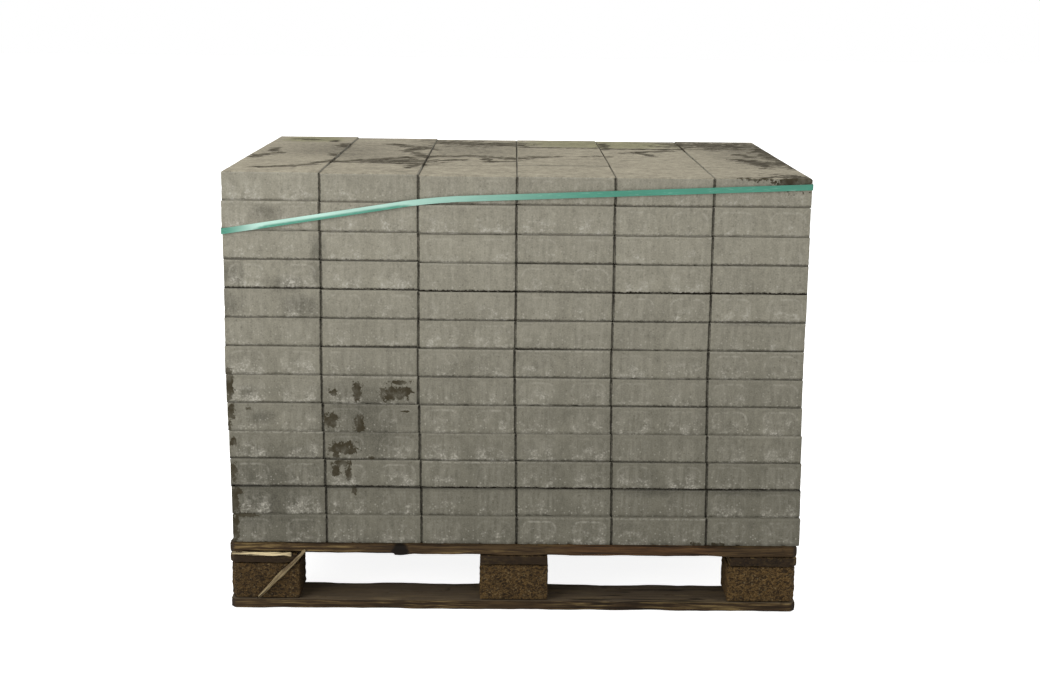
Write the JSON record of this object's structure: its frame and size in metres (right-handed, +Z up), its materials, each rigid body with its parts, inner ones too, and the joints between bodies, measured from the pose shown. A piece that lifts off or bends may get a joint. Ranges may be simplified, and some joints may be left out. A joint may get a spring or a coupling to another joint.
{
  "type": "pallet of concrete pavers",
  "caption": "Wooden four-way block pallet loaded with a square-edged stack of grey concrete paving slabs, courses straight above one another, girthed near the top by a green plastic strap.",
  "frame": {"origin": "on the floor, under the middle of the pallet", "axes": "+X along the long side of the pallet, +Y from its front to its back, +Z up"},
  "size_m": [1.2065, 0.8198, 0.9294],
  "materials": {
    "concrete": "matte dry-pressed concrete, weathered, with pale bloom and damp stains",
    "pallet_wood": "rough-sawn softwood, wet and weathered dark",
    "chip_block": "pressed chip wood, wet and weathered dark",
    "raw_wood": "freshly split softwood",
    "strap_plastic": "satin polyester strap, turquoise green"
  },
  "bodies": {
    "root": {"bottom_board_front": "pallet_wood", "block_front_left": "chip_block", "block_front_middle": "chip_block", "block_front_right": "chip_block", "bottom_board_middle": "pallet_wood", "block_middle_left": "chip_block", "block_middle_middle": "chip_block", "block_middle_right": "chip_block", "bottom_board_back": "pallet_wood", "block_back_left": "chip_block", "block_back_middle": "chip_block", "block_back_right": "chip_block", "cross_board_left": "pallet_wood", "cross_board_middle": "pallet_wood", "cross_board_right": "pallet_wood", "deck_board_front": "pallet_wood", "deck_board_front_inner": "pallet_wood", "deck_board_middle": "pallet_wood", "deck_board_back_inner": "pallet_wood", "deck_board_back": "pallet_wood", "splinter_lying": "raw_wood", "splinter_hanging": "raw_wood", "paver_course_01": "concrete", "paver_course_02": "concrete", "paver_course_03": "concrete", "paver_course_04": "concrete", "paver_course_05": "concrete", "paver_course_06": "concrete", "paver_course_07": "concrete", "paver_course_08": "concrete", "paver_course_09": "concrete", "paver_course_10": "concrete", "paver_course_11": "concrete", "paver_course_12": "concrete", "paver_course_13": "concrete", "strap": "strap_plastic"}
  },
  "joints": []
}
